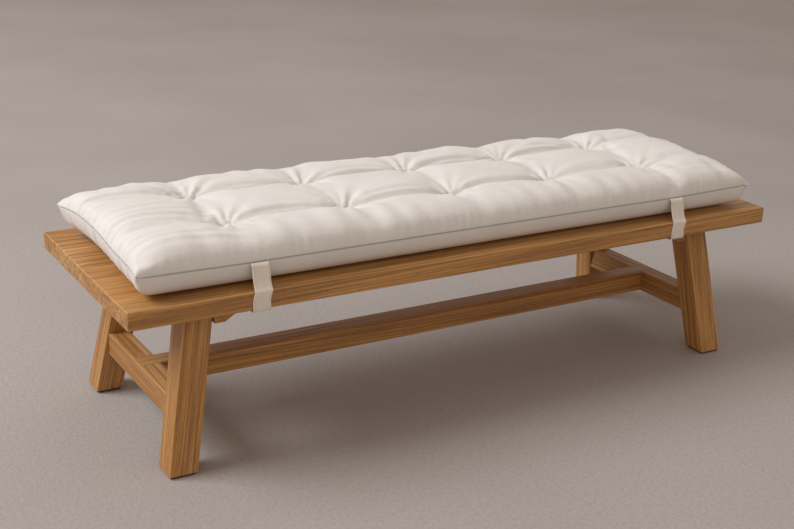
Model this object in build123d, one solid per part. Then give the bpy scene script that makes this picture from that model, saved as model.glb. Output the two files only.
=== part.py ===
from build123d import *
import os
from math import radians, tan

# A low oak kneeling bench with a tufted cushion strapped on. Millimetres, +Z up.
# The origin is on the floor under the middle of the top. +X runs along the bench, and -Y is its front.

# Top, glued up from oak boards
top_length = 1200.0
top_width = 400.0
top_thick = 28.0
seat_height = 275.0
board_count = 4
top_edge_round = 2.0

# Legs, which lean outwards both ways
leg_size = 45.0
leg_edge_round = 2.5
leg_lean_x = 10.0
leg_lean_y = 8.0
leg_inset_x = 100.0
leg_inset_y = 45.0
leg_tenon_size = 26.0
leg_tenon_long = 18.0
foot_chamfer = 1.5

# Stretchers
rail_height = 38.0
rail_width = 35.0
rail_top = 110.0
rail_edge_round = 2.0
rail_tenon_wide = 14.0
rail_tenon_high = 24.0
rail_tenon_long = 20.0
lap_stop = 4.0

# Bearers, screwed under the top beside the legs
bearer_width = 43.0
bearer_thick = 28.0
bearer_thin = 12.0
bearer_flat = 16.0
bearer_inset_y = 42.0
bearer_edge_round = 1.5

# Countersunk screws through the bearers
screw_head_r = 4.2
screw_head_deep = 3.0
screw_shank_r = 2.0
screw_point_r = 0.3
screw_clear_r = 2.25
screw_long = 44.0
screw_recess = 2.0
screw_from_edge = 11.0
cross_slot_wide = 1.0
cross_slot_long = 4.6
cross_slot_deep = 1.4

# Felt glides under the feet
glide_thick = 3.0
glide_size = 39.0
glide_corner = 3.0

# Cushion: two cover panels sewn together round the sides, over one filling
cushion_length = 1160.0
cushion_width = 372.0
base_length = 1116.0
base_width = 334.0
cushion_lift = 0.3
seam_height = 38.0
shoulder_height = 76.0
shoulder_inset = 34.0
crown_height = 86.0
shoulder_swell_up = 4.5
shoulder_swell_in = 12.0
cover_thick = 1.2
filling_gap = 0.3

# Tufts, in rows along the cushion
tuft_columns = 5
tuft_rows = 2
tuft_pitch_x = 200.0
tuft_pitch_y = 150.0
tuft_deep = 24.0
tuft_pit_tall = 40.0
tuft_pit_r = 84.0
tuft_pit_floor_r = 6.0
under_pit_r = 26.0
under_tuft_deep = 5.0
tuft_cord_r = 1.0
tuft_hole_r = 1.4
tuft_stitch_long = 9.0

# Straps, sewn into the side seam, wrapped under the top and closed there by hook and loop
strap_at_x = 396.0
strap_width = 28.0
strap_thick = 1.6
strap_gap = 0.3
strap_bend_r = 2.2
strap_top_down = 1.0
closure_long = 50.0
closure_thick = 1.2
closure_margin = 1.5
strap_tail = 8.0
strap_step = 14.0

# Places worked out from the sizes above
top_under = seat_height - top_thick
board_width = top_width / board_count
leg_top_x = top_length / 2 - leg_inset_x - leg_size / 2
leg_top_y = top_width / 2 - leg_inset_y - leg_size / 2
leg_tall = top_under - glide_thick
lean_x = tan(radians(leg_lean_x))
lean_y = tan(radians(leg_lean_y))
rail_mid = rail_top - rail_height / 2
end_rail_x = leg_top_x + lean_x * (top_under - rail_mid)
end_rail_y = leg_top_y + lean_y * (top_under - rail_mid)
bearer_outer_x = leg_top_x - leg_size / 2
bearer_half_y = top_width / 2 - bearer_inset_y
cushion_floor = seat_height + cushion_lift
corners = [(-1, -1), (1, -1), (-1, 1), (1, 1)]
corner_names = {(-1, -1): "front_left", (1, -1): "front_right", (-1, 1): "back_left", (1, 1): "back_right"}
side_names = {-1: "left", 1: "right"}


def block(x0, x1, y0, y1, z0, z1):
    """A box between two opposite corners."""
    return Pos((x0 + x1) / 2, (y0 + y1) / 2, (z0 + z1) / 2) * Box(x1 - x0, y1 - y0, z1 - z0)


def rod(x, y, z0, z1, radius):
    """An upright round rod."""
    return Pos(x, y, (z0 + z1) / 2) * Cylinder(radius, z1 - z0)


def save(name, shape):
    """Write one node, as a group when it holds several separate pieces."""
    solids = shape.solids()
    shape = solids[0] if len(solids) == 1 else Compound(children=list(solids))
    shape.label = name
    export_step(shape, f"parts/{name}.step")


# ---------------------------------------------------------------- wooden frame

def foot_centre(sx, sy, z):
    """The middle of a leg's level section at a given height."""
    drop = top_under - z
    return (sx * (leg_top_x + lean_x * drop), sy * (leg_top_y + lean_y * drop))


def leg_body(sx, sy):
    """A square leg leaning both ways, cut level at the floor and under the top."""
    x, y = foot_centre(sx, sy, glide_thick)
    run = Vector(-sx * lean_x * leg_tall, -sy * lean_y * leg_tall, leg_tall)
    section = Pos(x, y, glide_thick) * RectangleRounded(leg_size, leg_size, leg_edge_round)
    leg = extrude(section, amount=run.length, dir=run)
    return chamfer(leg.faces().sort_by(Axis.Z)[0].edges(), foot_chamfer)


def leg_tenon(sx, sy):
    """The stub tenon on top of a leg, which stands upright in the top's mortise."""
    half = leg_tenon_size / 2
    x = sx * leg_top_x
    y = sy * leg_top_y
    return block(x - half, x + half, y - half, y + half, top_under, top_under + leg_tenon_long)


def rail_tenons(side):
    """The tenon bar of an end stretcher, running from inside one leg to inside the other."""
    half = rail_tenon_wide / 2
    reach = end_rail_y - leg_size / 2 + rail_tenon_long
    x = side * end_rail_x
    low = rail_mid - rail_tenon_high / 2
    return block(x - half, x + half, -reach, reach, low, low + rail_tenon_high)


def rounded_beam(length, width, height, radius):
    """A beam along X with its four long edges rounded, centred on the origin."""
    beam = Box(length, width, height)
    return fillet(beam.edges().filter_by(Axis.X), radius)


def lap_notch(side):
    """The space in an end stretcher that the long stretcher's lap fills, open at the top and inwards."""
    inner = end_rail_x - rail_width / 2
    outer = end_rail_x + rail_width / 2 - lap_stop
    x0, x1 = sorted((side * inner, side * outer))
    half = rail_width / 2
    return block(x0, x1, -half, half, rail_mid, rail_top)


def end_stretcher(side):
    """The cross stretcher between a front leg and a back leg, tenoned into both."""
    beam = Rot(0, 0, 90) * rounded_beam(2 * end_rail_y, rail_width, rail_height, rail_edge_round)
    beam = Pos(side * end_rail_x, 0, rail_mid) * beam
    for sy in (-1, 1):
        beam -= leg_body(side, sy)
    return beam + rail_tenons(side) - lap_notch(side)


def long_stretcher():
    """The stretcher along the bench, lapped into the top half of both end stretchers."""
    inner = end_rail_x - rail_width / 2
    beam = Pos(0, 0, rail_mid) * rounded_beam(2 * inner, rail_width, rail_height, rail_edge_round)
    for side in (-1, 1):
        beam += lap_notch(side)
    return beam


def leg(sx, sy):
    """A leg with its tenon, and the mortise for its end stretcher."""
    return leg_body(sx, sy) + leg_tenon(sx, sy) - rail_tenons(sx)


def screw_places(side):
    """Where the screws of one bearer stand, one for each board of the top."""
    x = side * (bearer_outer_x - screw_from_edge)
    return [(x, -top_width / 2 + (n + 0.5) * board_width) for n in range(board_count)]


def screw_bottom():
    """Height of a screw's head, sunk a little into the bearer's underside."""
    return top_under - bearer_thick + screw_recess


def wood_screw(x, y):
    """A countersunk screw pointing up, with a cross recess in its head."""
    z = screw_bottom()
    head = Pos(x, y, z + screw_head_deep / 2) * Cone(screw_head_r, screw_shank_r, screw_head_deep)
    shank = rod(x, y, z + screw_head_deep, z + screw_long - screw_shank_r, screw_shank_r)
    tip_z = z + screw_long - screw_shank_r / 2
    tip = Pos(x, y, tip_z) * Cone(screw_shank_r, screw_point_r, screw_shank_r)
    screw = head + shank + tip
    long = cross_slot_long / 2
    wide = cross_slot_wide / 2
    screw -= block(x - long, x + long, y - wide, y + wide, z, z + cross_slot_deep)
    screw -= block(x - wide, x + wide, y - long, y + long, z, z + cross_slot_deep)
    return screw


def screw_hole(x, y):
    """The countersunk clearance hole through a bearer."""
    z = screw_bottom()
    mouth = rod(x, y, z - screw_recess, z, screw_head_r)
    seat = Pos(x, y, z + screw_head_deep / 2) * Cone(screw_head_r, screw_clear_r, screw_head_deep)
    return mouth + seat + rod(x, y, z + screw_head_deep, top_under, screw_clear_r)


def pilot_hole(x, y):
    """The hole that a screw's point fills in the underside of the top."""
    end = screw_bottom() + screw_long
    return rod(x, y, top_under, end - screw_shank_r, screw_shank_r) + (
        Pos(x, y, end - screw_shank_r / 2) * Cone(screw_shank_r, screw_point_r, screw_shank_r)
    )


def bearer(side):
    """A cross batten under one end of the top, planed thinner towards the middle of the bench."""
    outer = bearer_outer_x
    flat = outer - bearer_flat
    inner = outer - bearer_width
    low = top_under - bearer_thick
    thin = top_under - bearer_thin
    outline = Polyline(
        (inner, top_under), (outer, top_under), (outer, low), (flat, low), (inner, thin), close=True
    )
    face = Plane.XZ * make_face(outline)
    batten = Pos(0, bearer_half_y, 0) * extrude(face, 2 * bearer_half_y)
    ends = batten.faces().filter_by(Axis.Y)
    lower = [edge for face in ends for edge in face.edges() if edge.center().Z < top_under - 1]
    batten = chamfer(lower, bearer_edge_round)
    if side < 0:
        batten = batten.mirror(Plane.YZ)
    for x, y in screw_places(side):
        batten -= screw_hole(x, y)
    return batten


def glued_top():
    """The whole top with eased outer edges, mortised for the legs and drilled for the screws."""
    top = block(
        -top_length / 2, top_length / 2, -top_width / 2, top_width / 2, top_under, seat_height
    )
    top = fillet(top.edges(), top_edge_round)
    for sx, sy in corners:
        top -= leg_tenon(sx, sy)
    for side in (-1, 1):
        for x, y in screw_places(side):
            top -= pilot_hole(x, y)
    return top


def glide(sx, sy):
    """A felt pad under one foot."""
    x, y = foot_centre(sx, sy, glide_thick)
    return extrude(Pos(x, y, 0) * RectangleRounded(glide_size, glide_size, glide_corner), glide_thick)


# ---------------------------------------------------------------- cushion

def cushion_profile(width, base, inset):
    """Half-lens outline of the cushion across one direction, drawn about x=0 with its base on y=0."""
    half = width / 2
    foot = base / 2
    shoulder = half - shoulder_inset
    right = [
        Line((0, 0), (foot, 0)),
        Line((foot, 0), (half, seam_height)),
        ThreePointArc(
            (half, seam_height),
            (half - shoulder_swell_in, (seam_height + shoulder_height) / 2 + shoulder_swell_up),
            (shoulder, shoulder_height),
        ),
    ]
    crown = ThreePointArc((shoulder, shoulder_height), (0, crown_height), (-shoulder, shoulder_height))
    left = [edge.mirror(Plane.YZ) for edge in right]
    outline = make_face(Curve() + [*right, crown, *left])
    if inset > 0:
        outline = offset(outline, amount=-inset, kind=Kind.INTERSECTION)
    return outline


def tuft_places():
    """Where the tufts are, in columns along the cushion."""
    for column in range(tuft_columns):
        for row in range(tuft_rows):
            x = (column - (tuft_columns - 1) / 2) * tuft_pitch_x
            y = (row - (tuft_rows - 1) / 2) * tuft_pitch_y
            yield x, y


def crown_at(x, y):
    """Roughly how high the cushion's top is above its base at a tuft."""
    half = cushion_width / 2 - shoulder_inset
    return crown_height - (crown_height - shoulder_height) * (y / half) ** 2


def pit_bottom(x, y):
    """Height of the top panel where a tuft pulls it down."""
    return cushion_floor + crown_at(x, y) - tuft_deep


def cushion_body(inset):
    """The tufted cushion, shrunk inwards by inset all round."""
    across = Plane.YZ * cushion_profile(cushion_width, base_width, inset)
    along = Plane.XZ * cushion_profile(cushion_length, base_length, inset)
    across = Pos(-cushion_length / 2, 0, cushion_floor) * extrude(across, cushion_length)
    along = Pos(0, cushion_width / 2, cushion_floor) * extrude(along, cushion_width)
    return (across & along) - tuft_pits(inset)


def tuft_pits(inset):
    """The hollows that the tufts pull into the top and the underside, moved inwards by inset."""
    upper = Cone(tuft_pit_floor_r, tuft_pit_r, tuft_pit_tall)
    under = Cone(under_pit_r, tuft_pit_floor_r, under_tuft_deep)
    pits = []
    for x, y in tuft_places():
        pits.append(Pos(x, y, pit_bottom(x, y) - inset + tuft_pit_tall / 2) * upper)
        pits.append(Pos(x, y, cushion_floor + inset + under_tuft_deep / 2) * under)
    return pits


def cushion_pieces():
    """The two cover panels and the filling, with holes for the tufting cords right through."""
    holes = [rod(x, y, seat_height, cushion_floor + crown_height, tuft_hole_r) for x, y in tuft_places()]
    cover = cushion_body(0) - cushion_body(cover_thick) - holes
    filling = cushion_body(cover_thick + filling_gap) - holes
    far = cushion_length
    seam = cushion_floor + seam_height
    upper = block(-far, far, -far, far, seam, seam + far)
    lower = block(-far, far, -far, far, seam - far, seam)
    return cover & upper, cover & lower, filling


def tuft_cord(x, y):
    """One tufting cord, with a short bar stitch across each end."""
    low = cushion_floor + under_tuft_deep - tuft_cord_r - filling_gap
    high = pit_bottom(x, y) + tuft_cord_r + filling_gap
    cord = rod(x, y, low, high, tuft_cord_r)
    for z in (low, high):
        bar = Rot(0, 90, 0) * Cylinder(tuft_cord_r, tuft_stitch_long)
        cord += Pos(x, y, z) * bar
    return cord


# ---------------------------------------------------------------- straps

def strap_level():
    """Height of a strap's middle where it lies flat against the underside of the top."""
    return top_under - strap_gap - strap_thick / 2


def strap_drop():
    """How much lower the back strap runs where it overlaps the front one."""
    return strap_thick + 2 * closure_thick


def strap_start():
    """A strap's (y, z) points from the side seam, down the cushion's lower side and over the top's edge."""
    off = strap_gap + strap_thick / 2
    foot = Vector(-base_width / 2, cushion_floor)
    seam = Vector(-cushion_width / 2, cushion_floor + seam_height)
    side = (seam - foot).normalized()
    outwards = Vector(-side.Y, side.X) * off
    upper = seam + outwards - side * strap_top_down
    lower = foot + outwards
    lower = lower + side * ((seat_height + off - lower.Y) / side.Y)
    edge_y = -top_width / 2 - off
    return [(upper.X, upper.Y), (lower.X, lower.Y), (edge_y, seat_height + off), (edge_y, strap_level())]


def band(x, points):
    """A flat strap along a line of (y, z) points."""
    line = FilletPolyline(*points, radius=strap_bend_r)
    edge = Plane.YZ * trace(line, line_width=strap_thick)
    return Pos(x - strap_width / 2, 0, 0) * extrude(edge, strap_width)


def front_strap(x):
    """The strap from the front seam, which runs just past the middle of the underside."""
    end = closure_long / 2 + strap_tail
    return band(x, [*strap_start(), (end, strap_level())])


def back_strap(x):
    """The strap from the back seam, which steps down to pass under the front strap's end."""
    low = strap_level() - strap_drop()
    step = -closure_long / 2 - strap_tail - strap_bend_r
    end = closure_long / 2 + strap_tail
    points = [*strap_start(), (step - strap_step, strap_level()), (step, low), (end, low)]
    return band(x, points).mirror(Plane.XZ)


def closure_patch(x, layer):
    """The loop patch under the front strap (layer 0), or the hook patch on the back strap (layer 1)."""
    half = strap_width / 2 - closure_margin
    high = strap_level() - strap_thick / 2 - layer * closure_thick
    return block(x - half, x + half, -closure_long / 2, closure_long / 2, high - closure_thick, high)


def main():
    os.makedirs("parts", exist_ok=True)

    top = glued_top()
    for n in range(board_count):
        y = -top_width / 2 + n * board_width
        strip = block(-top_length, top_length, y, y + board_width, 0, seat_height * 2)
        save(f"top_board_{n + 1}", top & strip)

    for sx, sy in corners:
        save(f"leg_{corner_names[sx, sy]}", leg(sx, sy))
        save(f"foot_glide_{corner_names[sx, sy]}", glide(sx, sy))

    save("long_stretcher", long_stretcher())
    for side in (-1, 1):
        name = side_names[side]
        save(f"end_stretcher_{name}", end_stretcher(side))
        save(f"bearer_{name}", bearer(side))
        save(f"strap_front_{name}", front_strap(side * strap_at_x))
        save(f"strap_back_{name}", back_strap(side * strap_at_x))
        save(f"loop_patch_{name}", closure_patch(side * strap_at_x, 0))
        save(f"hook_patch_{name}", closure_patch(side * strap_at_x, 1))
    screws = [wood_screw(x, y) for side in (-1, 1) for x, y in screw_places(side)]
    save("bearer_screws", Part() + screws)

    upper, lower, filling = cushion_pieces()
    save("cushion_top_panel", upper)
    save("cushion_bottom_panel", lower)
    save("cushion_filling", filling)
    save("tuft_cords", Part() + [tuft_cord(x, y) for x, y in tuft_places()])


main()
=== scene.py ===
"""The looks of a low oak kneeling bench with a tufted cushion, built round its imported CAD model.

Metres, +Z up, +X along the bench and -Y at its front, as in the CAD.
"""
from math import cos, pi, radians, sin, tan

import bpy
import numpy as np
from mathutils import Matrix, Vector
from mathutils.bvhtree import BVHTree


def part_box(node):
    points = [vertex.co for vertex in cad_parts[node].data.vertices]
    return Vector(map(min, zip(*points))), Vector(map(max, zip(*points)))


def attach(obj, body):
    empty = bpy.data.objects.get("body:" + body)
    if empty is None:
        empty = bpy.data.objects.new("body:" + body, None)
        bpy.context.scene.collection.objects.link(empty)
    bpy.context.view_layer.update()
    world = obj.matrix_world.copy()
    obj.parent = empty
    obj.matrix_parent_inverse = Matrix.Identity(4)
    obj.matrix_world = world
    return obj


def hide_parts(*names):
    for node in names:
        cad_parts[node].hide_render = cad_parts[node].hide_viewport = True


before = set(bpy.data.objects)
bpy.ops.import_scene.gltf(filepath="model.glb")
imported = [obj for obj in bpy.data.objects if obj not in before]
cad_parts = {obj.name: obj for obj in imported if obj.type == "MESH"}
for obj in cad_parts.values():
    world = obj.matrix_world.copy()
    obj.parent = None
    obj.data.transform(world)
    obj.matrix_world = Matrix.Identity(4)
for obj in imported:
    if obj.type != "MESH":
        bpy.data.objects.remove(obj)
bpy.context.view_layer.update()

MM = 0.001

# Places read from the frame
board_boxes = [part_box(f"top_board_{n}") for n in range(1, 5)]
TOP_Y = board_boxes[-1][1].y
TOP_Z = board_boxes[0][1].z
TOP_UNDER = board_boxes[0][0].z
panel_lo, panel_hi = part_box("cushion_top_panel")
HALF_LENGTH = panel_hi.x
HALF_WIDTH = panel_hi.y
SEAM_Z = panel_lo.z
CROWN_Z = panel_hi.z
cords_lo, cords_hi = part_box("tuft_cords")
TUFT_STITCH = 9 * MM
TUFT_CORD = 2 * MM
# tufts stand TUFT_X apart along the cushion, and TUFT_Y to each side of its middle line
TUFT_X = (cords_hi.x - cords_lo.x - TUFT_STITCH) / 4
TUFT_Y = (cords_hi.y - cords_lo.y - TUFT_CORD) / 2


# ---------------------------------------------------------------- node helpers

class Nodes:
    """A material's node tree, with short calls for what the materials below use."""

    def __init__(self, name, roughness, specular=0.5):
        self.material = bpy.data.materials.new(name)
        self.material.use_nodes = True
        self.tree = self.material.node_tree
        self.shader = self.tree.nodes["Principled BSDF"]
        self.shader.inputs["Roughness"].default_value = roughness
        self.shader.inputs["Specular IOR Level"].default_value = specular

    def put(self, target, value):
        """Joins an output to an input, or sets the input's own value."""
        if isinstance(value, bpy.types.NodeSocket):
            self.tree.links.new(value, target)
        else:
            target.default_value = value

    def node(self, kind, settings=(), **inputs):
        made = self.tree.nodes.new(kind)
        for key, value in dict(settings).items():
            setattr(made, key, value)
        for key, value in inputs.items():
            self.put(made.inputs[key.replace("_", " ")], value)
        return made

    def math(self, operation, a, b=0.0, c=0.0, clamp=False):
        made = self.tree.nodes.new("ShaderNodeMath")
        made.operation = operation
        made.use_clamp = clamp
        for target, value in zip(made.inputs, (a, b, c)):
            self.put(target, value)
        return made.outputs[0]

    def vector(self, operation, a, b=(0.0, 0.0, 0.0), scale=1.0):
        made = self.tree.nodes.new("ShaderNodeVectorMath")
        made.operation = operation
        self.put(made.inputs[0], a)
        if operation == "SCALE":
            self.put(made.inputs["Scale"], scale)
        else:
            self.put(made.inputs[1], b)
        return made.outputs["Value"] if operation in ("LENGTH", "DOT_PRODUCT") else made.outputs["Vector"]

    def ramp(self, value, low, high, out_low=0.0, out_high=1.0, smooth=True):
        """Maps low..high to out_low..out_high, clamped."""
        made = self.tree.nodes.new("ShaderNodeMapRange")
        made.interpolation_type = "SMOOTHSTEP" if smooth else "LINEAR"
        self.put(made.inputs["Value"], value)
        made.inputs["From Min"].default_value = low
        made.inputs["From Max"].default_value = high
        made.inputs["To Min"].default_value = out_low
        made.inputs["To Max"].default_value = out_high
        return made.outputs["Result"]

    def noise(self, vector, scale=1.0, detail=2.0, roughness=0.5, distortion=0.0):
        """Noise from 0 to 1 at a point."""
        return self.node(
            "ShaderNodeTexNoise", Vector=vector, Scale=scale, Detail=detail, Roughness=roughness,
            Distortion=distortion,
        )

    def mix(self, share, a, b, blend="MIX"):
        made = self.tree.nodes.new("ShaderNodeMix")
        made.data_type = "RGBA"
        made.blend_type = blend
        self.put(made.inputs[0], share)
        self.put(made.inputs[6], a)
        self.put(made.inputs[7], b)
        return made.outputs[2]

    def bump(self, height, distance, strength=1.0, under=None):
        made = self.node("ShaderNodeBump", Height=height, Distance=distance, Strength=strength)
        if under is not None:
            self.put(made.inputs["Normal"], under)
        return made.outputs["Normal"]

    def finish(self, color, normal=None, roughness=None):
        self.put(self.shader.inputs["Base Color"], color)
        if normal is not None:
            self.put(self.shader.inputs["Normal"], normal)
        if roughness is not None:
            self.put(self.shader.inputs["Roughness"], roughness)
        return self.material


def rgb(red, green, blue):
    return (red, green, blue, 1.0)


# ---------------------------------------------------------------- oak

OAK_PALE = rgb(0.70, 0.385, 0.138)
OAK_HONEY = rgb(0.53, 0.238, 0.058)
OAK_BROWN = rgb(0.225, 0.092, 0.024)
OAK_PORE = rgb(0.115, 0.045, 0.014)
RING = 4.2 * MM
LEG_LEAN_X = radians(10)
LEG_LEAN_Y = radians(8)


def oak(name, grain, pith, tone=0.0, ring=RING):
    """Solid oak: growth rings round a pith line, so that faces and end grain belong together.

    grain is the direction of the grain, pith a point on the pith line, and tone makes a piece
    a little paler (above 0) or browner (below 0)."""
    m = Nodes(name, 0.42, 0.42)
    turn = Vector(grain).rotation_difference(Vector((1, 0, 0))).to_matrix()
    shift = -(turn @ Vector(pith))
    place = m.node("ShaderNodeTexCoord").outputs["Object"]
    placed = m.node(
        "ShaderNodeMapping", Vector=place, Location=shift, Rotation=turn.to_euler(),
    ).outputs["Vector"]

    # the rings wander slowly along the grain and faster across it
    slow = m.noise(m.vector("MULTIPLY", placed, (1.1, 7.0, 7.0)), detail=1.0).outputs["Color"]
    quick = m.noise(m.vector("MULTIPLY", placed, (6.0, 60.0, 60.0)), detail=2.0).outputs["Color"]
    wander = m.vector("SCALE", m.vector("SUBTRACT", slow, (0.5, 0.5, 0.5)), scale=26 * MM)
    ripple = m.vector("SCALE", m.vector("SUBTRACT", quick, (0.5, 0.5, 0.5)), scale=1.6 * MM)
    bent = m.vector("ADD", m.vector("ADD", placed, wander), ripple)
    across = m.vector("MULTIPLY", bent, (0.0, 1.0, 1.0))
    radius = m.vector("LENGTH", across)
    years = m.noise(m.node("ShaderNodeCombineXYZ", X=radius).outputs[0], scale=1 / (5 * ring), detail=1.0)
    phase = m.math("ADD", m.math("DIVIDE", radius, ring), m.math("MULTIPLY", years.outputs["Fac"], 2.4))
    year = m.math("FRACT", phase)

    # each year: a porous dark line, pale wood, then slowly browner wood
    early = m.ramp(year, 0.0, 0.34, 1.0, 0.0)
    late = m.ramp(year, 0.35, 1.0)
    rise = m.ramp(year, 0.0, 0.07)
    early = m.math("MULTIPLY", early, rise)

    # pores and streaks, stretched along the grain
    pores = m.noise(m.vector("MULTIPLY", placed, (70.0, 1500.0, 1500.0)), detail=1.0).outputs["Fac"]
    pores = m.ramp(pores, 0.60, 0.72)
    streaks = m.noise(m.vector("MULTIPLY", bent, (2.2, 150.0, 150.0)), detail=4.0, roughness=0.62)
    streaks = streaks.outputs["Fac"]
    threads = m.noise(m.vector("MULTIPLY", placed, (5.0, 620.0, 620.0)), detail=2.0).outputs["Fac"]
    broad = m.noise(m.vector("MULTIPLY", placed, (0.9, 16.0, 16.0)), detail=2.0).outputs["Fac"]
    flecks = m.noise(m.vector("MULTIPLY", placed, (55.0, 160.0, 420.0)), detail=1.0).outputs["Fac"]
    flecks = m.ramp(flecks, 0.63, 0.72)

    bands = m.noise(m.vector("MULTIPLY", bent, (1.3, 85.0, 85.0)), detail=1.0).outputs["Fac"]
    warmth = m.math("ADD", m.ramp(broad, 0.30, 0.72), -tone, clamp=True)
    color = m.mix(warmth, OAK_PALE, OAK_HONEY)
    color = m.mix(m.math("MULTIPLY", late, 0.42), color, OAK_BROWN)
    color = m.mix(m.ramp(streaks, 0.44, 0.68, 0.0, 0.72), color, OAK_BROWN)
    color = m.mix(m.ramp(bands, 0.47, 0.66, 0.0, 0.45), color, OAK_BROWN)
    color = m.mix(m.ramp(threads, 0.50, 0.75, 0.0, 0.35), color, OAK_BROWN)
    color = m.mix(m.math("MULTIPLY", flecks, 0.22), color, OAK_PALE)
    dark = m.math("MULTIPLY", pores, m.math("ADD", m.math("MULTIPLY", early, 0.55), 0.22))
    dark = m.math("ADD", dark, m.math("MULTIPLY", early, 0.24), clamp=True)
    color = m.mix(dark, color, OAK_PORE)

    # eased edges: rubbed paler and smoother by wear, plus a painted highlight along the rounded edges
    normal = m.node("ShaderNodeNewGeometry").outputs["True Normal"]
    parts = m.node("ShaderNodeSeparateXYZ", Vector=m.vector("ABSOLUTE", normal))
    flat = m.math("MAXIMUM", m.math("MAXIMUM", parts.outputs[0], parts.outputs[1]), parts.outputs[2])
    edge = m.ramp(flat, 0.84, 0.95, 1.0, 0.0)
    # painted highlight mixed with real wear: the edges are pushed towards pale oak
    color = m.mix(m.math("MULTIPLY", edge, 0.35), color, OAK_PALE)

    height = m.math("SUBTRACT", m.math("MULTIPLY", streaks, 0.5), m.math("MULTIPLY", pores, 0.7))
    height = m.math("SUBTRACT", height, m.math("MULTIPLY", early, 0.35))
    rough = m.math("ADD", m.ramp(streaks, 0.3, 0.8, 0.36, 0.50), m.math("MULTIPLY", edge, -0.06))
    return m.finish(color, m.bump(height, 0.16 * MM, 0.8), rough)


def dress_wood():
    """Gives every oak node its own piece of timber."""
    for n in range(4):
        lo, hi = board_boxes[n]
        middle = (lo.y + hi.y) / 2
        # boards are cut at different distances from the pith, above or below them
        side = (-1, 1, -1, 1)[n]
        far = (62, 85, 48, 74)[n] * MM
        tilt = Vector((1, (0.012, -0.016, 0.010, -0.008)[n], (0.018, 0.012, -0.02, 0.015)[n]))
        pith = (3.1 * n, middle + (18, -25, 30, -12)[n] * MM, TOP_Z - side * far)
        tone = (0.10, -0.04, 0.14, 0.02)[n]
        set_material(f"top_board_{n + 1}", oak(f"oak_board_{n + 1}", tilt, pith, tone))
    count = 0
    for front_back, sy in (("front", -1), ("back", 1)):
        for left_right, sx in (("left", -1), ("right", 1)):
            node = f"leg_{front_back}_{left_right}"
            lo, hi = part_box(node)
            lean = Vector((-sx * tan(LEG_LEAN_X), -sy * tan(LEG_LEAN_Y), 1))
            middle = (lo + hi) / 2
            pith = middle + Vector(((-70, 58, 64, -75)[count], (-38, 52, 40, 62)[count], 0)) * MM
            pith.z += 2.3 * count
            lean_off = lean + Vector((0.02, (0.015, -0.02, 0.01, 0.02)[count], 0))
            set_material(node, oak(f"oak_{node}", lean_off, pith, (0.06, 0.0, -0.05, 0.04)[count]))
            count += 1
    for node, grain, off, tone in (
        ("long_stretcher", (1, 0.008, 0.012), (1.7, -46 * MM, 58 * MM), -0.12),
        ("end_stretcher_left", (0.015, 1, 0.02), (52 * MM, 4.2, 40 * MM), -0.06),
        ("end_stretcher_right", (-0.015, 1, -0.02), (-48 * MM, 6.1, 55 * MM), -0.10),
        ("bearer_left", (0.01, 1, 0.01), (30 * MM, 8.3, 44 * MM), -0.16),
        ("bearer_right", (0.01, 1, -0.01), (-36 * MM, 9.7, 50 * MM), -0.16),
    ):
        lo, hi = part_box(node)
        set_material(node, oak(f"oak_{node}", grain, (lo + hi) / 2 + Vector(off), tone))


def set_material(node, material):
    """Dresses a CAD node, which keeps its mesh."""
    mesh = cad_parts[node].data
    mesh.materials.clear()
    mesh.materials.append(material)


# ---------------------------------------------------------------- metal and felt

def zinc():
    """Zinc-plated steel: pale yellow-grey, with fine swirls and grease-dark patches."""
    m = Nodes("zinc_plate", 0.34)
    m.shader.inputs["Metallic"].default_value = 1.0
    place = m.node("ShaderNodeTexCoord").outputs["Object"]
    patch = m.noise(place, scale=420.0, detail=3.0).outputs["Fac"]
    scratch = m.noise(m.vector("MULTIPLY", place, (900.0, 5200.0, 5200.0)), detail=1.0).outputs["Fac"]
    color = m.mix(m.ramp(patch, 0.35, 0.70), rgb(0.62, 0.60, 0.52), rgb(0.36, 0.35, 0.33))
    return m.finish(color, m.bump(scratch, 0.02 * MM, 0.5), m.ramp(patch, 0.3, 0.7, 0.26, 0.46))


def felt():
    """Pressed brown felt: matted short fibres."""
    m = Nodes("pressed_felt", 0.95, 0.15)
    m.shader.inputs["Sheen Weight"].default_value = 0.3
    place = m.node("ShaderNodeTexCoord").outputs["Object"]
    fibres = m.noise(place, scale=1600.0, detail=3.0, roughness=0.7, distortion=1.5).outputs["Fac"]
    mottle = m.noise(place, scale=240.0, detail=2.0).outputs["Fac"]
    color = m.mix(m.ramp(mottle, 0.35, 0.65), rgb(0.045, 0.030, 0.020), rgb(0.075, 0.052, 0.036))
    color = m.mix(m.ramp(fibres, 0.55, 0.80, 0.0, 0.6), color, rgb(0.14, 0.105, 0.075))
    return m.finish(color, m.bump(fibres, 0.3 * MM))


def closure_tape(name, cell, raised):
    """Hook or loop tape: rows of tiny hooks, or a mat of loops, on a cream backing."""
    m = Nodes(name, 0.7, 0.3)
    place = m.node("ShaderNodeTexCoord").outputs["Object"]
    dots = m.node("ShaderNodeTexVoronoi", Vector=place, Scale=1 / cell, Randomness=0.35 if raised else 1.0)
    tuft = m.ramp(dots.outputs["Distance"], 0.12, 0.55, 1.0, 0.0)
    color = m.mix(tuft, rgb(0.52, 0.49, 0.43), rgb(0.76, 0.73, 0.66))
    return m.finish(color, m.bump(tuft, 0.35 * MM))


# ---------------------------------------------------------------- cloth

CLOTH_PALE = rgb(0.775, 0.740, 0.705)
CLOTH_WARM = rgb(0.700, 0.648, 0.595)
THREAD = 0.75 * MM


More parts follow.
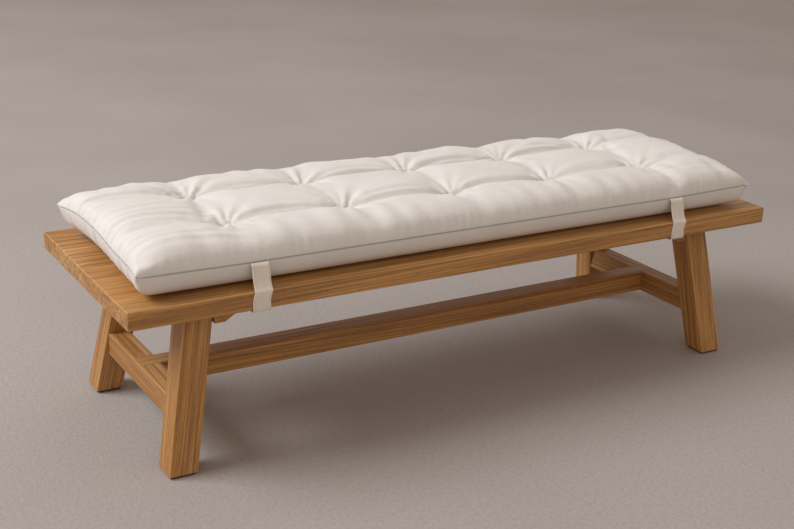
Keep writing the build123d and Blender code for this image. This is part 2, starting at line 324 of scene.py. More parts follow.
def cover_cloth(name):
    """Natural cotton and linen: a plain weave with slubs, on the panel's own cut directions."""
    m = Nodes(name, 0.88, 0.25)
    m.shader.inputs["Sheen Weight"].default_value = 0.22
    m.shader.inputs["Sheen Roughness"].default_value = 0.55
    cut = m.node("ShaderNodeAttribute", {"attribute_name": "cut"}).outputs["Vector"]
    parts = m.node("ShaderNodeSeparateXYZ", Vector=cut)
    seam_gap = m.math("ABSOLUTE", parts.outputs[2])

    # plain weave: two sets of rounded threads, over and under each other
    turns = 2 * pi / (2 * THREAD)
    warp = m.math("SINE", m.math("MULTIPLY", parts.outputs[0], turns))
    weft = m.math("SINE", m.math("MULTIPLY", parts.outputs[1], turns))
    weave = m.math("MULTIPLY", warp, weft)
    slub_x = m.noise(m.vector("MULTIPLY", cut, (26.0, 900.0, 0.0)), detail=3.0, roughness=0.6)
    slub_y = m.noise(m.vector("MULTIPLY", cut, (900.0, 26.0, 0.0)), detail=3.0, roughness=0.6)
    slub_x = m.ramp(slub_x.outputs["Fac"], 0.52, 0.78)
    slub_y = m.ramp(slub_y.outputs["Fac"], 0.55, 0.80)
    slub = m.math("MAXIMUM", slub_x, slub_y)
    mottle = m.noise(m.vector("MULTIPLY", cut, (9.0, 9.0, 0.0)), detail=3.0).outputs["Fac"]
    speck = m.noise(m.vector("MULTIPLY", cut, (420.0, 420.0, 0.0)), detail=1.0).outputs["Fac"]

    color = m.mix(m.ramp(mottle, 0.35, 0.70, 0.0, 0.35), CLOTH_PALE, CLOTH_WARM)
    color = m.mix(m.math("MULTIPLY", slub, 0.20), color, CLOTH_WARM)
    color = m.mix(m.ramp(speck, 0.70, 0.78, 0.0, 0.45), color, rgb(0.44, 0.37, 0.29))
    # painted shade: a thin darker line where the two panels fold into the seam groove
    color = m.mix(m.ramp(seam_gap, 0.15 * MM, 0.7 * MM, 0.6, 0.0), color, rgb(0.24, 0.20, 0.165))

    height = m.math("ADD", m.math("MULTIPLY", weave, 0.25), m.math("MULTIPLY", slub, 0.9))
    crumple = m.noise(m.vector("MULTIPLY", cut, (48.0, 60.0, 0.0)), detail=4.0, roughness=0.55)
    normal = m.bump(crumple.outputs["Fac"], 2.2 * MM, 0.35)
    return m.finish(color, m.bump(height, 0.14 * MM, 0.7, normal))


def twill_cloth(name):
    """Cream twill tape: fine diagonal ribs, on the tape's own directions."""
    m = Nodes(name, 0.82, 0.28)
    m.shader.inputs["Sheen Weight"].default_value = 0.2
    cut = m.node("ShaderNodeAttribute", {"attribute_name": "cut"}).outputs["Vector"]
    parts = m.node("ShaderNodeSeparateXYZ", Vector=cut)
    slant = m.math("ADD", parts.outputs[0], m.math("MULTIPLY", parts.outputs[1], 0.8))
    rib = m.math("SINE", m.math("MULTIPLY", slant, 2 * pi / (1.1 * MM)))
    yarn = m.noise(m.vector("MULTIPLY", cut, (700.0, 60.0, 0.0)), detail=3.0).outputs["Fac"]
    mottle = m.noise(m.vector("MULTIPLY", cut, (40.0, 40.0, 0.0)), detail=2.0).outputs["Fac"]
    color = m.mix(m.ramp(mottle, 0.3, 0.7, 0.0, 0.5), rgb(0.860, 0.785, 0.700), rgb(0.765, 0.680, 0.585))
    color = m.mix(m.ramp(rib, -0.9, 0.2, 0.22, 0.0), color, rgb(0.42, 0.35, 0.27))
    color = m.mix(m.ramp(yarn, 0.55, 0.75, 0.0, 0.25), color, rgb(0.50, 0.42, 0.34))
    height = m.math("ADD", m.math("MULTIPLY", rib, 0.3), yarn)
    return m.finish(color, m.bump(height, 0.16 * MM, 0.8))


def thread_cloth(name, pale, dark):
    """Waxed cotton thread: twisted plies."""
    m = Nodes(name, 0.62, 0.35)
    place = m.node("ShaderNodeTexCoord").outputs["Object"]
    ply = m.noise(place, scale=1500.0, detail=2.0).outputs["Fac"]
    return m.finish(m.mix(m.ramp(ply, 0.35, 0.65), dark, pale), m.bump(ply, 0.1 * MM))


# ---------------------------------------------------------------- mesh helpers

def new_object(name, verts, faces, material):
    mesh = bpy.data.meshes.new(name)
    mesh.from_pydata([tuple(v) for v in verts], [], [tuple(int(i) for i in f) for f in faces])
    mesh.update()
    mesh.materials.append(material)
    mesh.shade_smooth()
    made = bpy.data.objects.new(name, mesh)
    bpy.context.scene.collection.objects.link(made)
    return made


def set_cut(mesh, values):
    """Stores each point's place on the flat cloth, which the weave follows."""
    layer = mesh.attributes.get("cut") or mesh.attributes.new("cut", "FLOAT_VECTOR", "POINT")
    layer.data.foreach_set("vector", np.asarray(values, np.float32).ravel())


def points_of(mesh):
    co = np.zeros(len(mesh.vertices) * 3, np.float32)
    mesh.vertices.foreach_get("co", co)
    return co.reshape(-1, 3).astype(float)


def subdivided(piece, levels):
    """Adds Catmull-Clark levels and applies them."""
    modifier = piece.modifiers.new("Smooth", "SUBSURF")
    modifier.levels = levels
    modifier.render_levels = levels
    view = bpy.context.evaluated_depsgraph_get()
    mesh = bpy.data.meshes.new_from_object(piece.evaluated_get(view))
    piece.modifiers.clear()
    piece.data = mesh
    return piece


# ---------------------------------------------------------------- cushion

# the cloth's cell, each panel's flat size, and the tufts' places on the flat panel
CELL = 6.85 * MM
CUT_LENGTH = 1.226
CUT_WIDTH = 0.436
CUT_TUFT_X = 0.2065
CUT_TUFT_Y = 0.083
# the cushion's rest over the slab, and the lowest that its cloth may lie over it
BASE_GAP = 0.8 * MM
CLOTH_LOWEST = 0.5 * MM
# an extra row of points stands at this share of a cell from the seam, where the seam is drawn in
SEAM_CELL = 0.28
SEAM_DEEP = 1.5 * MM


class Panels:
    """Two cloth panels of one cut size, sewn together round their edges."""

    def __init__(self, us=None, vs=None):
        across = 2 * round(CUT_LENGTH / CELL / 2) + 1
        over = 2 * round(CUT_WIDTH / CELL / 2) + 1
        self.us = np.linspace(-CUT_LENGTH / 2, CUT_LENGTH / 2, across) if us is None else us
        self.vs = np.linspace(-CUT_WIDTH / 2, CUT_WIDTH / 2, over) if vs is None else vs
        self.flat_u, self.flat_v = np.meshgrid(self.us, self.vs, indexing="ij")
        count = self.flat_u.size
        self.top = np.arange(count).reshape(self.flat_u.shape)
        self.under = self.top.copy()
        self.inner = np.zeros(self.top.shape, bool)
        self.inner[1:-1, 1:-1] = True
        self.under[self.inner] = count + np.arange(self.inner.sum())

    def faces(self):
        quads = []
        for ids, turned in ((self.top, False), (self.under, True)):
            ring = [ids[:-1, :-1], ids[1:, :-1], ids[1:, 1:], ids[:-1, 1:]]
            corners = np.stack([part.ravel() for part in ring], 1)
            quads.append(corners[:, ::-1] if turned else corners)
        return np.vstack(quads)

    def join(self, top, under):
        """One list of points from a grid for the top panel and one for the lower panel."""
        return np.vstack([top.reshape(-1, 3), under[self.inner]])

    def cut(self):
        """Flat place of each point, with its distance from the seam, below 0 on the lower panel."""
        gap = np.minimum(
            CUT_LENGTH / 2 - np.abs(self.flat_u), CUT_WIDTH / 2 - np.abs(self.flat_v)
        )
        top = np.stack([self.flat_u, self.flat_v, gap], -1)
        under = np.stack([self.flat_u, self.flat_v, -gap], -1)
        return self.join(top, under)


def tuft_list():
    return [(i, j) for i in range(-2, 3) for j in (-1, 1)]


# a pit at each tuft, a valley along each row of tufts and a gully across each pair
PIT_STEEP = 27 * MM
PIT_DEEP = 16 * MM
PIN_DROP = 1.5 * MM
VALLEY_DEEP = 15 * MM
VALLEY_WIDE = 17 * MM
GULLY_DEEP = 6 * MM
# the filling's unevenness, its swell over the CAD's crown, and how fast its sides and ends roll off
LUMP = 1.6 * MM
CROWN_SWELL = 3 * MM
SIDE_ROLL = 5.5
END_ROLL = 16
BASE_INSET = 28 * MM
# the cloth starts this far inside the filled shape
START_INSIDE = 3 * MM
START_TOP = 0.95
START_UNDER = 0.93


def waves(x, y, long_x, long_y, seed, count=14):
    """Smooth irregular waves from about -1 to 1, of roughly these lengths along x and y."""
    pick = np.random.default_rng(seed)
    total = np.zeros_like(x)
    for _ in range(count):
        turn = pick.uniform(0, pi)
        pace = pick.uniform(0.7, 1.35)
        shift = pick.uniform(0, 2 * pi)
        total += np.cos(2 * pi * pace * (cos(turn) * x / long_x + sin(turn) * y / long_y) + shift)
    return total / np.sqrt(count / 2) / 1.6


def filled_top(x, y):
    """Height of the filled cushion's top at a point, with its rolls and the pits of its tufts."""
    ax = np.minimum(np.abs(x) / HALF_LENGTH, 1)
    ay = np.minimum(np.abs(y) / HALF_WIDTH, 1)
    lens = (1 - ay**SIDE_ROLL) ** 0.5 * (1 - ax**END_ROLL) ** 0.5
    height = (CROWN_Z + CROWN_SWELL - SEAM_Z) * lens + LUMP * waves(x, y, 0.12, 0.09, 3) * lens
    past = np.clip((np.abs(x) - 2 * TUFT_X) / (HALF_LENGTH - 2 * TUFT_X), 0, 1)
    row = np.abs(np.abs(y) - TUFT_Y)
    height -= VALLEY_DEEP * (1 - 0.75 * past) * lens * np.exp(-row / VALLEY_WIDE)
    for i, j in tuft_list():
        away = np.hypot(x - i * TUFT_X, y - j * TUFT_Y)
        height -= PIT_DEEP * np.exp(-away / PIT_STEEP)
    for i in range(-2, 3):
        height -= GULLY_DEEP * lens * np.exp(-(((x - i * TUFT_X) / (1.5 * VALLEY_WIDE)) ** 2))
    return SEAM_Z + np.maximum(height, 0)


def filled_under(x, y):
    """Height of the filled cushion's underside: flat on the slab, and rounded up to the seam."""
    length, width = HALF_LENGTH, HALF_WIDTH
    out_x = np.clip((np.abs(x) - length + BASE_INSET) / BASE_INSET, 0, 1)
    out_y = np.clip((np.abs(y) - width + BASE_INSET) / BASE_INSET, 0, 1)
    out = np.minimum(np.hypot(out_x, out_y), 1)
    return TOP_Z + BASE_GAP + (SEAM_Z - TOP_Z - BASE_GAP) * (1 - np.sqrt(1 - out**2))


def start_shape(panels):
    """The sewn panels just inside the filled cushion's outline, before the cloth settles."""
    along = np.interp(
        panels.us,
        [-CUT_LENGTH / 2, -2 * CUT_TUFT_X, 2 * CUT_TUFT_X, CUT_LENGTH / 2],
        [-HALF_LENGTH, -2 * TUFT_X, 2 * TUFT_X, HALF_LENGTH],
    )
    over = np.interp(
        panels.vs,
        [-CUT_WIDTH / 2, -CUT_TUFT_Y, CUT_TUFT_Y, CUT_WIDTH / 2],
        [-HALF_WIDTH, -TUFT_Y, TUFT_Y, HALF_WIDTH],
    )
    x, y = np.meshgrid(along, over, indexing="ij")
    top = filled_top(x, y)
    under = filled_under(x, y)
    top = SEAM_Z + (top - SEAM_Z) * START_TOP
    under = SEAM_Z + (under - SEAM_Z) * START_UNDER
    x = x * (1 - START_INSIDE / HALF_LENGTH)
    y = y * (1 - START_INSIDE / HALF_WIDTH)
    return np.stack([x, y, top], -1), np.stack([x, y, under], -1)


def tuft_points(panels):
    """For each tuft, its place and its points in the top and the lower panel."""
    for i, j in tuft_list():
        u = int(np.argmin(np.abs(panels.us - i * CUT_TUFT_X)))
        v = int(np.argmin(np.abs(panels.vs - j * CUT_TUFT_Y)))
        yield i * TUFT_X, j * TUFT_Y, u, v


SIM_FRAMES = 18
PRESSURE = 6.0
MOULD_CELL = 9 * MM


def mould(name, heights, downward):
    """A fixed surface that the cloth can't pass, standing for the reach of the filling."""
    nx = round(2 * HALF_LENGTH / MOULD_CELL)
    ny = round(2 * HALF_WIDTH / MOULD_CELL)
    # cells crowd together towards the steep edges
    along = HALF_LENGTH * np.sin(np.linspace(-1, 1, nx + 1) * pi / 2) * 0.35
    along += np.linspace(-1, 1, nx + 1) * HALF_LENGTH * 0.65
    over = HALF_WIDTH * np.sin(np.linspace(-1, 1, ny + 1) * pi / 2) * 0.6
    over += np.linspace(-1, 1, ny + 1) * HALF_WIDTH * 0.4
    x, y = np.meshgrid(along, over, indexing="ij")
    points = np.stack([x, y, heights(x, y)], -1).reshape(-1, 3)
    ids = np.arange(x.size).reshape(x.shape)
    ring = [ids[:-1, :-1], ids[1:, :-1], ids[1:, 1:], ids[:-1, 1:]]
    corners = np.stack([part.ravel() for part in ring], 1)
    if downward:
        corners = corners[:, ::-1]
    mesh = bpy.data.meshes.new(name)
    mesh.from_pydata(points.tolist(), [], corners.tolist())
    made = bpy.data.objects.new(name, mesh)
    bpy.context.scene.collection.objects.link(made)
    made.modifiers.new("Collision", "COLLISION")
    made.collision.thickness_outer = 0.3 * MM
    made.collision.thickness_inner = 15 * MM
    made.collision.cloth_friction = 0.0
    return made


def settle(piece, panels, rest):
    """Cloth simulation: the filling presses the sewn panels out to its reach, and the tufts hold them."""
    piece.shape_key_add(name="start")
    cut_key = piece.shape_key_add(name="cut")
    cut_key.data.foreach_set("co", rest.ravel().astype(np.float32))
    cut_key.value = 0.0
    held = piece.vertex_groups.new(name="tufts")
    for _, _, u, v in tuft_points(panels):
        held.add([int(panels.top[u, v]), int(panels.under[u, v])], 1.0, "REPLACE")
    stops = [mould("mould_top", filled_top, True), mould("mould_under", filled_under, False)]

    cloth = piece.modifiers.new("Cloth", "CLOTH")
    cloth.point_cache.frame_start = 1
    cloth.point_cache.frame_end = SIM_FRAMES
    settings = cloth.settings
    settings.quality = 6
    settings.mass = 0.05
    settings.air_damping = 1.0
    settings.tension_stiffness = 20.0
    settings.compression_stiffness = 20.0
    settings.shear_stiffness = 6.0
    settings.bending_stiffness = 0.2
    settings.use_pressure = True
    settings.uniform_pressure_force = PRESSURE
    settings.vertex_group_mass = held.name
    settings.pin_stiffness = 50.0
    settings.rest_shape_key = cut_key
    settings.effector_weights.gravity = 0.0
    cloth.collision_settings.use_collision = True
    cloth.collision_settings.distance_min = 0.5 * MM
    cloth.collision_settings.friction = 0.0
    for step in range(1, SIM_FRAMES + 1):
        bpy.context.scene.frame_set(step)
    view = bpy.context.evaluated_depsgraph_get()
    mesh = bpy.data.meshes.new_from_object(piece.evaluated_get(view))
    settled = points_of(mesh)
    bpy.context.scene.frame_set(1)
    bpy.data.meshes.remove(mesh)
    for stop in stops:
        bpy.data.objects.remove(stop)
    return settled


def refined(grid):
    """A grid of points with an extra row close to each of its four edges."""
    for axis in (0, 1):
        grid = np.moveaxis(grid, axis, 0)
        first = grid[0] + (grid[1] - grid[0]) * SEAM_CELL
        last = grid[-1] + (grid[-2] - grid[-1]) * SEAM_CELL
        grid = np.concatenate([grid[:1], first[None], grid[1:-1], last[None], grid[-1:]])
        grid = np.moveaxis(grid, 0, axis)
    return grid


def seam_groove(grid):
    """Draws the sewn edge of a panel in towards its middle."""
    grid[0, :, 0] += SEAM_DEEP
    grid[-1, :, 0] -= SEAM_DEEP
    grid[:, 0, 1] += SEAM_DEEP
    grid[:, -1, 1] -= SEAM_DEEP


def cushion_cover(material):
    """The cushion's cover: sewn panels, settled over the filling and pulled in at the tufts."""
    panels = Panels()
    top, under = start_shape(panels)
    for x, y, u, v in tuft_points(panels):
        top[u, v] = (x, y, float(filled_top(np.array(x), np.array(y))) - PIN_DROP)
        under[u, v] = (x, y, TOP_Z + 3 * MM)
    points = panels.join(top, under)
    piece = new_object("cushion_cover", points, panels.faces(), material)
    flat_top = np.stack([panels.flat_u, panels.flat_v, np.full(top.shape[:2], SEAM_Z + MM)], -1)
    flat_under = flat_top - (0, 0, 2 * MM)
    points = settle(piece, panels, panels.join(flat_top, flat_under))
    bpy.data.objects.remove(piece)
    top = refined(points[panels.top])
    under = refined(points[panels.under])
    flat = refined(np.stack([panels.flat_u, panels.flat_v], -1))
    fine = Panels(flat[:, 0, 0], flat[0, :, 1])
    seam_groove(top)
    seam_groove(under)
    points = fine.join(top, under)
    points[:, 2] = np.maximum(points[:, 2], TOP_Z + CLOTH_LOWEST)
    piece = new_object("cushion_cover", points, fine.faces(), material)
    set_cut(piece.data, fine.cut())
    piece = subdivided(piece, 1)
    wrinkle(piece.data)
    return piece


# folds between neighbouring tufts: bow, depth and width of each, in mm
CREASES = ((1.5, 3.5, 3.8), (9.0, 2.6, 3.6), (17.0, 1.7, 4.4))
PUCKER = 2.2 * MM
PUCKER_REACH = 20 * MM


def bell(value, width):
    return np.exp(-((value / width) ** 2))


def crease(value, depth, width):
    """A fold across a line: a narrow valley with a soft ridge beyond it."""
    return 0.55 * depth * bell(value - 2.3 * width, 1.7 * width) - depth * bell(value, width)


def wrinkle(mesh):
    """Adds the small folds that the cloth takes: between the tufts, round them, and along the seams."""
    points = points_of(mesh)
    normals = np.zeros(len(points) * 3, np.float32)
    mesh.vertex_normals.foreach_get("vector", normals)
    normals = normals.reshape(-1, 3).astype(float)
    cut = np.zeros(len(points) * 3, np.float32)
    mesh.attributes["cut"].data.foreach_get("vector", cut)
    cut = cut.reshape(-1, 3).astype(float)
    lower = cut[:, 2] < 0
    x, y = points[:, 0], points[:, 1]
    gap = np.abs(cut[:, 2])
    end_gap = CUT_LENGTH / 2 - np.abs(cut[:, 0])
    side_gap = CUT_WIDTH / 2 - np.abs(cut[:, 1])
    upper = np.where(lower, 0.0, 1.0) * np.clip(gap / (12 * MM), 0, 1)
    shift = np.zeros(len(points))

    # folds that swoop from tuft to tuft
    for number, (i, j) in enumerate(tuft_list()):
        t = (x - i * TUFT_X) / TUFT_X
        between = np.clip(t, 0, 1) if i < 2 else np.zeros_like(t)
        arch = np.sin(pi * between)
        for level, (bow, depth, width) in enumerate(CREASES):
            jog = 1 + 0.22 * np.sin(5.0 * number + 2.1 * level)
            line = j * TUFT_Y + bow * jog * MM * arch**0.8
            shift += upper * np.sqrt(arch) * crease(y - line, depth * jog * MM, width * MM)

    # puckers that fan out from each tuft
    for number, (i, j) in enumerate(tuft_list()):
        dx, dy = x - i * TUFT_X, y - j * TUFT_Y
        away = np.hypot(dx, dy)
        angle = np.arctan2(dy, dx)
        pick = np.random.default_rng(40 + number)
        fan = sum(np.cos(n * angle + pick.uniform(0, 2 * pi)) for n in (6, 9, 13)) / 1.8
        shift += PUCKER * upper * fan * away / PUCKER_REACH * np.exp(1 - away / PUCKER_REACH)

    # long folds towards both ends, gathers along the end seams, and puckers along the side seams
    past = np.clip((np.abs(x) - 1.9 * TUFT_X) / (0.35 * TUFT_X), 0, 1)
    long_folds = waves(x * 0.25, y - 0.02 * np.sin(x * 9), 0.10, 16 * MM, 11)
    off_side = np.clip(side_gap / (40 * MM), 0, 1)
    shift += np.where(x < 0, 1.2, 0.7) * MM * upper * past * long_folds * off_side
    gathers = waves(x * 0.3, y, 40 * MM, 11 * MM, 12)
    near_end = np.exp(-end_gap / (16 * MM)) * np.clip(gap / (3 * MM), 0.25, 1)
    shift += np.where(x < 0, 2.1, 1.2) * MM * gathers * near_end
    soft = waves(x + 0.25 * y, y * 0.2, 42 * MM, 60 * MM, 13)
    shift += 1.2 * MM * soft * upper * bell(side_gap - 42 * MM, 34 * MM)
    short = waves(x, y * 0.3, 15 * MM, 40 * MM, 14)
    shift += 0.5 * MM * short * np.exp(-side_gap / (10 * MM)) * np.clip(gap / (3 * MM), 0.2, 1)

    points += normals * shift[:, None]
    pull_corners(points, cut, end_gap, side_gap)
    points[:, 2] = np.maximum(points[:, 2], TOP_Z + CLOTH_LOWEST)
    mesh.vertices.foreach_set("co", points.ravel().astype(np.float32))
    mesh.update()


# the filling lifts each end seam in one soft arch, whose highest point lies behind the middle
LEFT_LIFT = 18 * MM
RIGHT_LIFT = 12 * MM
LIFT_BACK = 45 * MM
LIFT_REACH = 145 * MM


def pull_corners(points, cut, end_gap, side_gap):
    """Draws the four corners out to points, and lifts the end seams as the filling does."""
    across = np.sign(cut[:, 0])
    over = np.sign(cut[:, 1])
    near = np.exp(-((np.hypot(end_gap, side_gap) / (34 * MM)) ** 1.5))
    points[:, 0] += across * near * np.where(across < 0, 8 * MM, 4 * MM)
    points[:, 1] += over * near * 5 * MM
    near_end = np.exp(-end_gap / (42 * MM))
    arch = bell(points[:, 1] - LIFT_BACK, LIFT_REACH) * near_end
    points[:, 2] += arch * np.where(across < 0, LEFT_LIFT, RIGHT_LIFT)


# ---------------------------------------------------------------- straps and stitches

STRAP_X = (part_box("strap_front_right")[0].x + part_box("strap_front_right")[1].x) / 2
STRAP_HALF = (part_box("strap_front_right")[1].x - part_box("strap_front_right")[0].x) / 2
STRAP_THICK = 1.6 * MM
STRAP_UNDER = TOP_UNDER - 1.1 * MM
STRAP_STEP = 4.0 * MM
STRAP_END = 33 * MM
# the hanging part of each strap leans to the left, over the first millimetres below the slab's top
STRAP_LEAN = 4 * MM
STRAP_LEAN_DROP = 10
# from the side seam to the bend under the slab: distance out from the slab's edge, height over its top
STRAP_LINE = (
    (-16.0, 37.5), (-12.6, 35.5), (-10.8, 29.0), (-8.6, 19.0), (-5.6, 9.0), (-2.4, 2.6), (0.5, -0.4),
    (1.2, -4.0), (1.2, -14.0), (1.2, -24.0), (0.8, -29.2), (-3.0, -31.0),
)


def smooth_line(points, step):
    """Points at about one step along a smooth curve through the given points."""
    curve = bpy.data.curves.new("guide", "CURVE")
    curve.dimensions = "3D"
    spline = curve.splines.new("BEZIER")
    spline.bezier_points.add(len(points) - 1)
    for knot, place in zip(spline.bezier_points, points):
        knot.co = place
        knot.handle_left_type = knot.handle_right_type = "AUTO"
    curve.resolution_u = 12
    made = bpy.data.objects.new("guide", curve)
    bpy.context.scene.collection.objects.link(made)
    view = bpy.context.evaluated_depsgraph_get()
    mesh = bpy.data.meshes.new_from_object(made.evaluated_get(view))
    line = points_of(mesh)
    bpy.data.objects.remove(made)
    gone = np.concatenate([[0], np.cumsum(np.linalg.norm(np.diff(line, axis=0), axis=1))])
    marks = np.linspace(0, gone[-1], max(2, round(gone[-1] / step) + 1))
    return np.stack([np.interp(marks, gone, line[:, k]) for k in range(3)], 1)


def strap_route(side_x, face):
    """A strap's middle line: down from the seam, round the slab's edge and on under it."""
    places = []
    for out, up in STRAP_LINE:
        lean = -STRAP_LEAN * np.clip(-up / STRAP_LEAN_DROP, 0, 1)
        places.append((side_x + lean, face * (TOP_Y + out * MM), TOP_Z + up * MM))
    far = -STRAP_END * face
    if face < 0:
        places += [
            (side_x, face * 0.165, STRAP_UNDER), (side_x, face * 0.12, STRAP_UNDER),
            (side_x, face * 0.04, STRAP_UNDER), (side_x, far, STRAP_UNDER),
        ]
    else:
        low = STRAP_UNDER - STRAP_STEP
        places += [
            (side_x, face * 0.165, STRAP_UNDER), (side_x, face * 0.12, STRAP_UNDER),
            (side_x, face * 0.052, STRAP_UNDER),
            (side_x, face * 0.038, low), (side_x, 0, low), (side_x, far, low),
        ]
    return smooth_line(places, 2.0 * MM)


def strap(name, side_x, face, material):
    """A folded tape: two hemmed edges a little thicker than its middle, with soft waves."""
    line = strap_route(side_x, face)
    ahead = np.gradient(line, axis=0)
    ahead /= np.linalg.norm(ahead, axis=1, keepdims=True)
    wide = np.array((1.0, 0.0, 0.0))
    out = np.cross(ahead, wide) * (-face)
    out /= np.linalg.norm(out, axis=1, keepdims=True)
    gone = np.concatenate([[0], np.cumsum(np.linalg.norm(np.diff(line, axis=0), axis=1))])
    shares = np.array((-1.0, -0.97, -0.86, -0.76, -0.70, -0.35, 0.0, 0.35, 0.70, 0.76, 0.86, 0.97, 1.0))
    swell = np.array((0.42, 0.85, 1.0, 0.95, 0.72, 0.80, 0.82, 0.80, 0.72, 0.95, 1.0, 0.85, 0.42))
    verts, cuts = [], []
    for number, (place, normal) in enumerate(zip(line, out)):
        wave = 0.35 * MM * np.sin(gone[number] * 260 + side_x * 7) * np.exp(-gone[number] / 0.08)
        for flip in (1, -1):
            order = shares if flip > 0 else shares[::-1]
            bulge = swell if flip > 0 else swell[::-1]
            for share, thick in zip(order, bulge):
                edge = wave * share
                lift = flip * thick * STRAP_THICK / 2 + edge
                verts.append(place + wide * share * STRAP_HALF + normal * lift)
                cuts.append((share * STRAP_HALF, gone[number], 0.0))
    ring = 2 * len(shares)
    faces = []
    for number in range(len(line) - 1):
        for k in range(ring):
            a, b = number * ring + k, number * ring + (k + 1) % ring
            faces.append((a, b, b + ring, a + ring))
    faces.append(tuple(range(ring))[::-1])
    faces.append(tuple(range((len(line) - 1) * ring, len(line) * ring)))
    made = new_object(name, verts, faces, material)
    set_cut(made.data, cuts)
    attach(made, "root")
    return made, line, out, gone


def capsule(verts, faces, start, end, radius, sides=6):
    """Adds a short thread with rounded ends to a mesh in the making."""
    start, end = np.asarray(start, float), np.asarray(end, float)
    ahead = (end - start) / np.linalg.norm(end - start)
    side = np.cross(ahead, (0.3, 0.2, 0.9))
    side /= np.linalg.norm(side)
    other = np.cross(ahead, side)
    base = len(verts)
    stations = ((0.0, 0.35), (0.18, 0.85), (0.5, 1.0), (0.82, 0.85), (1.0, 0.35))
    for share, fat in stations:
        for k in range(sides):
            turn = 2 * pi * k / sides
            spread = (side * cos(turn) + other * sin(turn)) * radius * fat
            verts.append(start + (end - start) * share + spread)
    for level in range(len(stations) - 1):
        for k in range(sides):
            a = base + level * sides + k
            b = base + level * sides + (k + 1) % sides
            faces.append((a, b, b + sides, a + sides))
    last = base + (len(stations) - 1) * sides
    faces.append(tuple(base + k for k in range(sides))[::-1])
    faces.append(tuple(last + k for k in range(sides)))


def strap_stitches(name, straps, material):
    """Rows of stitches along both hems of each strap, on its outer side."""
    verts, faces = [], []
    pitch, long = 3.4 * MM, 2.4 * MM
    for _, line, out, gone in straps:
        for share in (-0.80, 0.80):
            mark = 4 * MM
            while mark + long < gone[-1] - 3 * MM:
                ends = []
                for at in (mark, mark + long):
                    place = np.array([np.interp(at, gone, line[:, k]) for k in range(3)])
                    normal = np.array([np.interp(at, gone, out[:, k]) for k in range(3)])
                    lift = STRAP_THICK / 2 * 0.98 + 0.12 * MM
                    ends.append(place + np.array((share * STRAP_HALF, 0, 0)) + normal * lift)
                capsule(verts, faces, ends[0], ends[1], 0.24 * MM)
                mark += pitch
    made = new_object(name, verts, faces, material)
    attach(made, "root")
    return made


def tuft_stitches(cover, material):
    """Three strands of cord over each tuft, drawn down into the cover."""
    verts, faces = [], []
    tree = BVHTree.FromObject(cover, bpy.context.evaluated_depsgraph_get())
    for number, (i, j) in enumerate(tuft_list()):
        x, y = i * TUFT_X, j * TUFT_Y
        hit = tree.ray_cast(Vector((x, y, CROWN_Z + 0.05)), Vector((0, 0, -1)))[0]
        turn = 0.5 + 0.37 * number
        for strand in (-1, 0, 1):
            along = np.array((cos(turn + 0.2 * strand), sin(turn + 0.2 * strand), 0))
            beside = np.array((-along[1], along[0], 0)) * strand * 1.1 * MM
            middle = np.array((x, y, hit.z + 0.9 * MM)) + beside
            half = along * TUFT_STITCH * 0.42
            drop = np.array((0, 0, 1.6 * MM))
            capsule(verts, faces, middle - half + drop, middle - half * 0.1, 0.55 * MM)
            capsule(verts, faces, middle - half * 0.1, middle + half + drop, 0.55 * MM)
        low = TOP_Z + 3.5 * MM
        capsule(verts, faces, (x, y, low), (x, y, hit.z + 0.9 * MM), 0.8 * MM)
    made = new_object("tuft_strands", verts, faces, material)
    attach(made, "root")
    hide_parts("tuft_cords")
    return made



# ---------------------------------------------------------------- stage, lights, camera

def floor():
    m = Nodes("floor_plain", 0.9, 0.2)
    place = m.node("ShaderNodeTexCoord").outputs["Object"]
    pile = m.noise(place, scale=140.0, detail=3.0, roughness=0.7).outputs["Fac"]
    patch = m.noise(place, scale=1.3, detail=2.0).outputs["Fac"]
    color = m.mix(m.ramp(patch, 0.3, 0.7), rgb(0.405, 0.365, 0.345), rgb(0.445, 0.402, 0.382))
    color = m.mix(m.ramp(pile, 0.35, 0.75, 0.0, 0.35), color, rgb(0.300, 0.255, 0.225))
    material = m.finish(color, m.bump(pile, 3 * MM, 0.4))
    reach = 20.0
    corners = [(-reach, -reach, 0), (reach, -reach, 0), (reach, reach, 0), (-reach, reach, 0)]
    made = new_object("floor", corners, [(0, 1, 2, 3)], material)


def soft_light(name, place, aim, size, power, color):
    data = bpy.data.lights.new(name, "AREA")
    data.shape = "RECTANGLE"
    data.size, data.size_y = size
    data.energy = power
    data.color = color
    made = bpy.data.objects.new(name, data)
    made.location = place
    made.rotation_euler = (Vector(aim) - Vector(place)).to_track_quat("-Z", "Y").to_euler()
    bpy.context.scene.collection.objects.link(made)


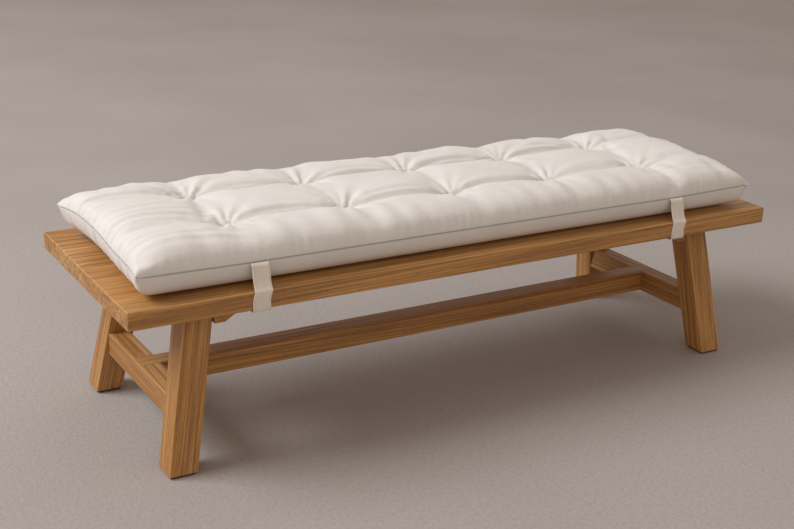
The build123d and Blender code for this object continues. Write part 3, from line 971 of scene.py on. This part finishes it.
def lights():
    middle = (0, 0, 0.25)
    soft_light("key", (-5.0, 2.0, 4.9), middle, (4.2, 3.4), 405.0, (0.93, 0.965, 1.0))
    soft_light("fill", (-1.5, -3.2, 2.2), middle, (3.0, 2.4), 12.0, (1.0, 0.88, 0.76))
    world = bpy.data.worlds.new("room")
    bpy.context.scene.world = world
    world.use_nodes = True
    sky = world.node_tree.nodes["Background"]
    sky.inputs["Color"].default_value = rgb(0.92, 0.82, 0.73)
    sky.inputs["Strength"].default_value = 0.52
    bpy.context.scene.view_settings.view_transform = "Standard"


def camera():
    """A view from the front left, a little above."""
    yaw, pitch, roll = 0.5445, 0.3345, 0.0331
    ahead = Vector((sin(yaw) * cos(pitch), cos(yaw) * cos(pitch), -sin(pitch)))
    right = Vector((cos(yaw), -sin(yaw), 0))
    up = right.cross(ahead)
    tilted_right = right * cos(roll) + up * sin(roll)
    tilted_up = up * cos(roll) - right * sin(roll)
    data = bpy.data.cameras.new("camera")
    data.lens = 57.35
    data.sensor_width = 36.0
    made = bpy.data.objects.new("camera", data)
    axes = Matrix((tilted_right, tilted_up, -ahead)).transposed()
    made.matrix_world = Matrix.Translation((-1.1130, -1.7479, 0.9106)) @ axes.to_4x4()
    bpy.context.scene.collection.objects.link(made)
    bpy.context.scene.camera = made


# ---------------------------------------------------------------- the whole scene

dress_wood()
set_material("bearer_screws", zinc())
felt_material = felt()
for end in ("front_left", "front_right", "back_left", "back_right"):
    set_material(f"foot_glide_{end}", felt_material)
hooks = closure_tape("hook_tape", 1.3 * MM, True)
loops = closure_tape("loop_tape", 0.9 * MM, False)
for end in ("left", "right"):
    set_material(f"hook_patch_{end}", hooks)
    set_material(f"loop_patch_{end}", loops)

cloth_material = cover_cloth("cotton_linen")
cover = cushion_cover(cloth_material)
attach(cover, "root")
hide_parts("cushion_top_panel", "cushion_bottom_panel", "cushion_filling")

twill = twill_cloth("twill_tape")
thread = thread_cloth("tufting_cord", rgb(0.74, 0.69, 0.61), rgb(0.50, 0.44, 0.36))
straps = []
for end, side_x in (("left", -STRAP_X), ("right", STRAP_X)):
    for face_name, face in (("front", -1), ("back", 1)):
        made = strap(f"tape_{face_name}_{end}", side_x, face, twill)
        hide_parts(f"strap_{face_name}_{end}")
        straps.append(made)
strap_stitches("tape_stitches", straps, thread)
tuft_stitches(cover, thread)

floor()
lights()
camera()
